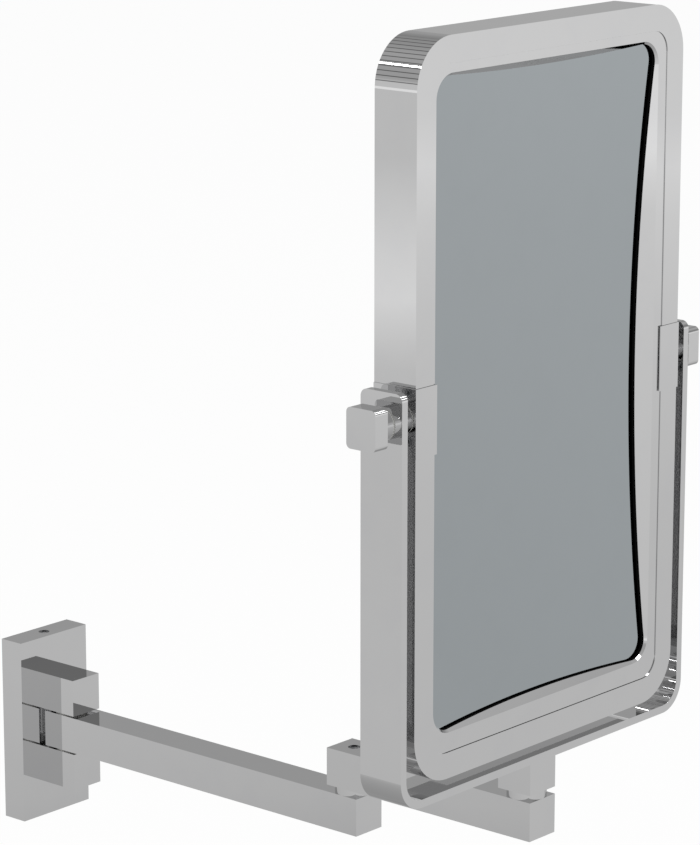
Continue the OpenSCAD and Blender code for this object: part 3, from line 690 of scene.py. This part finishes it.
upright = Matrix.Rotation(math.radians(90), 3, "X")
bmesh.ops.rotate(bm, verts=bm.verts, cent=(0, 0, 0), matrix=upright)
bmesh.ops.translate(bm, verts=bm.verts, vec=(glass_middle.x, 0, glass_middle.z))
for vert in bm.verts:
    off_middle = vert.co - glass_middle
    from_middle = math.hypot(off_middle.x / SQUEEZE, off_middle.z)
    hollow = BEND_RADIUS - math.sqrt(BEND_RADIUS**2 - from_middle**2)
    vert.co.y = FRONT_Y + GLASS_DEPTH - hollow
bmesh.ops.solidify(bm, geom=bm.faces[:], thickness=GLASS_THICK)
bmesh.ops.recalc_face_normals(bm, faces=bm.faces[:])
hollow_glass = link_piece("hollow_glass", bm, smooth=True)
hollow_glass.data.set_sharp_from_angle(angle=SHARP_EDGE)
hollow_glass.data.materials.append(glass)
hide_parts("magnifying_glass")
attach(hollow_glass, "mirror_head")
depths = [1000 * vert.co.y for vert in hollow_glass.data.vertices]
print("glass from", round(min(depths), 2), "to", round(max(depths), 2), "mm")
print("the CAD's from", round(1000 * low_corner.y, 2), "to", round(1000 * high_corner.y, 2), "mm")

# %% [markdown]
# ## The friction washers
# Thin nylon washers sit on the studs between the yoke's uprights and the turning parts. The
# photograph shows no dark seam there, so these reach out to the edge of the boss inside the yoke
# and of the knob's neck outside it. Each is two circles bridged to a flat ring, and the ring
# extruded to its thickness. A trace of room on both faces lets the mirror turn.

# %% Pivot washers
UPRIGHT_THICK = 0.0032
WASHER_THICK = 0.0005
WASHER_ROOM = 0.00002
WASHER_HOLE_RADIUS = 0.0032
BOSS_RADIUS = 0.0058
NECK_RADIUS = 0.0064
WASHER_SEGMENTS = 64

outer_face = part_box("yoke")[1].x
axis_low, axis_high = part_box("pivot_bosses")
pivot = (axis_low + axis_high) / 2
sideways = Matrix.Rotation(math.radians(90), 3, "Y")


def circle_edges(bm, radius):
    made = bmesh.ops.create_circle(bm, cap_ends=False, segments=WASHER_SEGMENTS, radius=radius)
    return {edge for vert in made["verts"] for edge in vert.link_edges}


def add_washer(bm, near, far, radius):
    """A flat ring about the tilt axis, between two places along it."""
    edges = circle_edges(bm, radius) | circle_edges(bm, WASHER_HOLE_RADIUS)
    faces = bmesh.ops.bridge_loops(bm, edges=list(edges))["faces"]
    copied = bmesh.ops.extrude_face_region(bm, geom=faces, use_keep_orig=True)["geom"]
    raised = [part for part in copied if isinstance(part, bmesh.types.BMVert)]
    bmesh.ops.translate(bm, verts=raised, vec=(0, 0, far - near))
    ring = list({vert for face in faces for vert in face.verts}) + raised
    bmesh.ops.rotate(bm, verts=ring, cent=(0, 0, 0), matrix=sideways)
    bmesh.ops.translate(bm, verts=ring, vec=(near, pivot.y, pivot.z))


bm = bmesh.new()
for side in (-1, 1):
    inner = side * (outer_face - UPRIGHT_THICK - WASHER_ROOM)
    boss_side = side * (outer_face - UPRIGHT_THICK - WASHER_THICK + WASHER_ROOM)
    add_washer(bm, min(inner, boss_side), max(inner, boss_side), BOSS_RADIUS)
    outer = side * (outer_face + WASHER_ROOM)
    knob_side = side * (outer_face + WASHER_THICK - WASHER_ROOM)
    add_washer(bm, min(outer, knob_side), max(outer, knob_side), NECK_RADIUS)
bmesh.ops.recalc_face_normals(bm, faces=bm.faces[:])
open_edges = sum(not edge.is_manifold for edge in bm.edges)
print("washers have", len(bm.faces), "faces and", open_edges, "open edges")
pivot_washers = link_piece("pivot_washers", bm)
pivot_washers.data.materials.append(nylon)
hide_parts("yoke_washers")
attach(pivot_washers, "yoke_set")

# %% [markdown]
# ## Reflections need room to bounce
# Between the mirror's frame and the yoke two mirrors face each other. Light bounces there many
# times before it leaves, and with the usual few bounces the gaps would go black.

# %% Bounces
MAX_BOUNCES = 24
MIRROR_BOUNCES = 20

bpy.context.scene.cycles.max_bounces = MAX_BOUNCES
bpy.context.scene.cycles.glossy_bounces = MIRROR_BOUNCES
print("bounces", MAX_BOUNCES, "in mirrors", MIRROR_BOUNCES)
